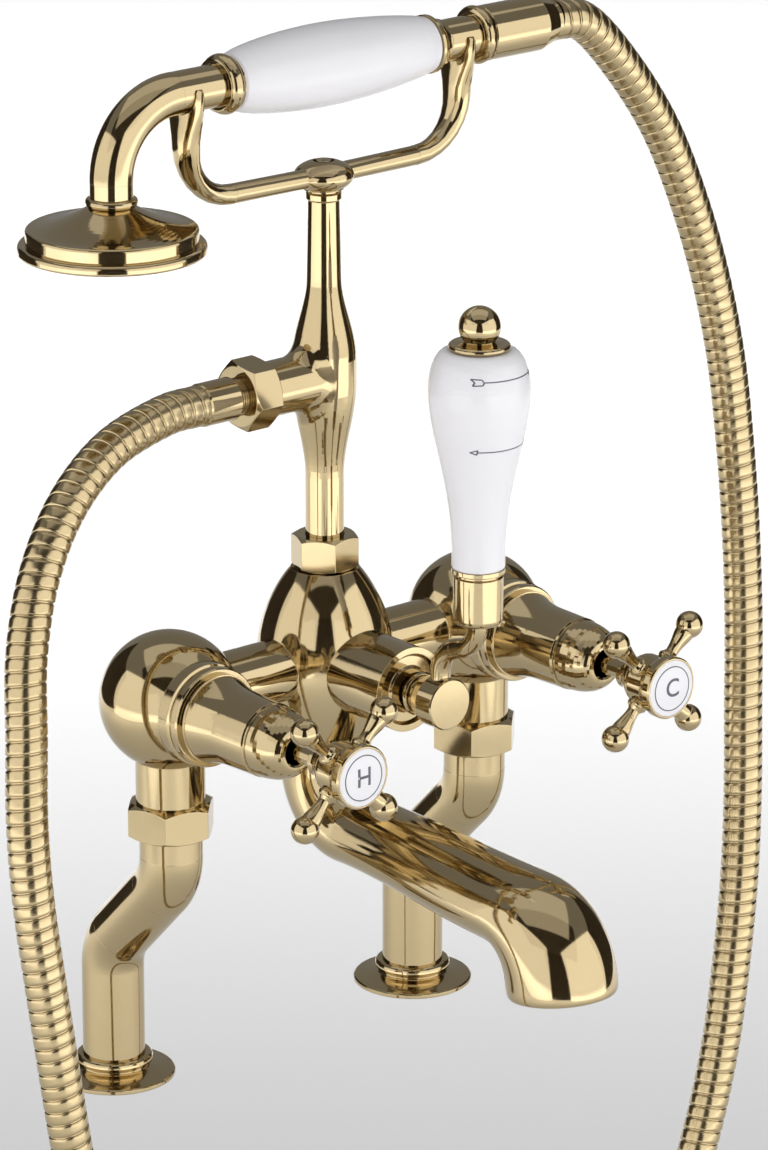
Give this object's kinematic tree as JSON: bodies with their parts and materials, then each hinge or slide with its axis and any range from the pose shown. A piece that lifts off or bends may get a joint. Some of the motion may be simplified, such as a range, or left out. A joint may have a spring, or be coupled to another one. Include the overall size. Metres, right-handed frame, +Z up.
{
  "type": "bath shower mixer",
  "caption": "Deck-mounted bath and shower mixer with cranked legs, cross-head valves, a diverter lever, a swept spout and a hand shower on a cradle with a ribbed hose.",
  "frame": {"origin": "on the deck, midway between the two deck holes", "axes": "+Z up, -Y towards the bather and the spout's tip, +X towards the cold valve"},
  "size_m": [0.4546, 0.2593, 0.6773],
  "materials": {
    "polished_brass": "polished warm brass",
    "hose_metal": "polished ribbed metal",
    "ceramic": "white glaze",
    "fibre": "matte fibre",
    "seal_rubber": "matte"
  },
  "bodies": {
    "mixer": {"body_casting": "polished_brass", "spout_nipple": "polished_brass", "spout": "polished_brass", "left_union_nut": "polished_brass", "right_union_nut": "polished_brass", "left_union_washer": "fibre", "right_union_washer": "fibre", "left_union_tail": "polished_brass", "right_union_tail": "polished_brass", "left_leg": "polished_brass", "right_leg": "polished_brass", "left_deck_flange": "polished_brass", "right_deck_flange": "polished_brass", "hot_shroud": "polished_brass", "cold_shroud": "polished_brass", "hot_cartridge": "polished_brass", "cold_cartridge": "polished_brass", "diverter_gland": "polished_brass", "riser": "polished_brass", "riser_nut": "polished_brass", "riser_washer": "fibre", "cradle": "polished_brass", "cradle_screw": "polished_brass", "tee_hose_nut": "polished_brass", "tee_hose_washer": "fibre", "hose_tee_ferrule": "polished_brass", "hose": "hose_metal"},
    "hot_handle": {"hot_spindle": "polished_brass", "hot_cross_handle": "polished_brass", "hot_index": "ceramic", "hot_handle_screw": "polished_brass"},
    "cold_handle": {"cold_spindle": "polished_brass", "cold_cross_handle": "polished_brass", "cold_index": "ceramic", "cold_handle_screw": "polished_brass"},
    "lever": {"diverter_spool": "polished_brass", "diverter_o_rings": "seal_rubber", "lever_arm": "polished_brass", "lever_ferrule": "polished_brass", "lever_grip": "ceramic", "lever_rod": "polished_brass", "lever_finial": "polished_brass"},
    "handset": {"rose_face": "polished_brass", "rose_ring": "polished_brass", "rose_bell": "polished_brass", "rose_collar": "polished_brass", "handset_elbow": "polished_brass", "handset_front_ferrule": "polished_brass", "handset_grip": "ceramic", "handset_tube": "polished_brass", "handset_rear_ferrule": "polished_brass", "handset_tail": "polished_brass", "hose_sleeve": "polished_brass", "hose_sleeve_washer": "fibre", "hose_hand_ferrule": "polished_brass"}
  },
  "joints": [
    {"name": "hot_turn", "type": "hinge", "parent": "mixer", "child": "hot_handle", "pos_m": [-0.09, -0.165, 0.193], "axis": [0, -1, 0], "range_deg": [0, 90]},
    {"name": "cold_turn", "type": "hinge", "parent": "mixer", "child": "cold_handle", "pos_m": [0.09, -0.165, 0.193], "axis": [0, 1, 0], "range_deg": [0, 90]},
    {"name": "diverter_turn", "type": "hinge", "parent": "mixer", "child": "lever", "pos_m": [0, -0.12, 0.193], "axis": [0, 1, 0], "range_deg": [-45, 45]},
    {"name": "handset_lift", "type": "slide", "parent": "mixer", "child": "handset", "axis": [-0.2588, 0, 0.9659], "range_m": [0, 0.06], "deforming": ["hose"]}
  ]
}
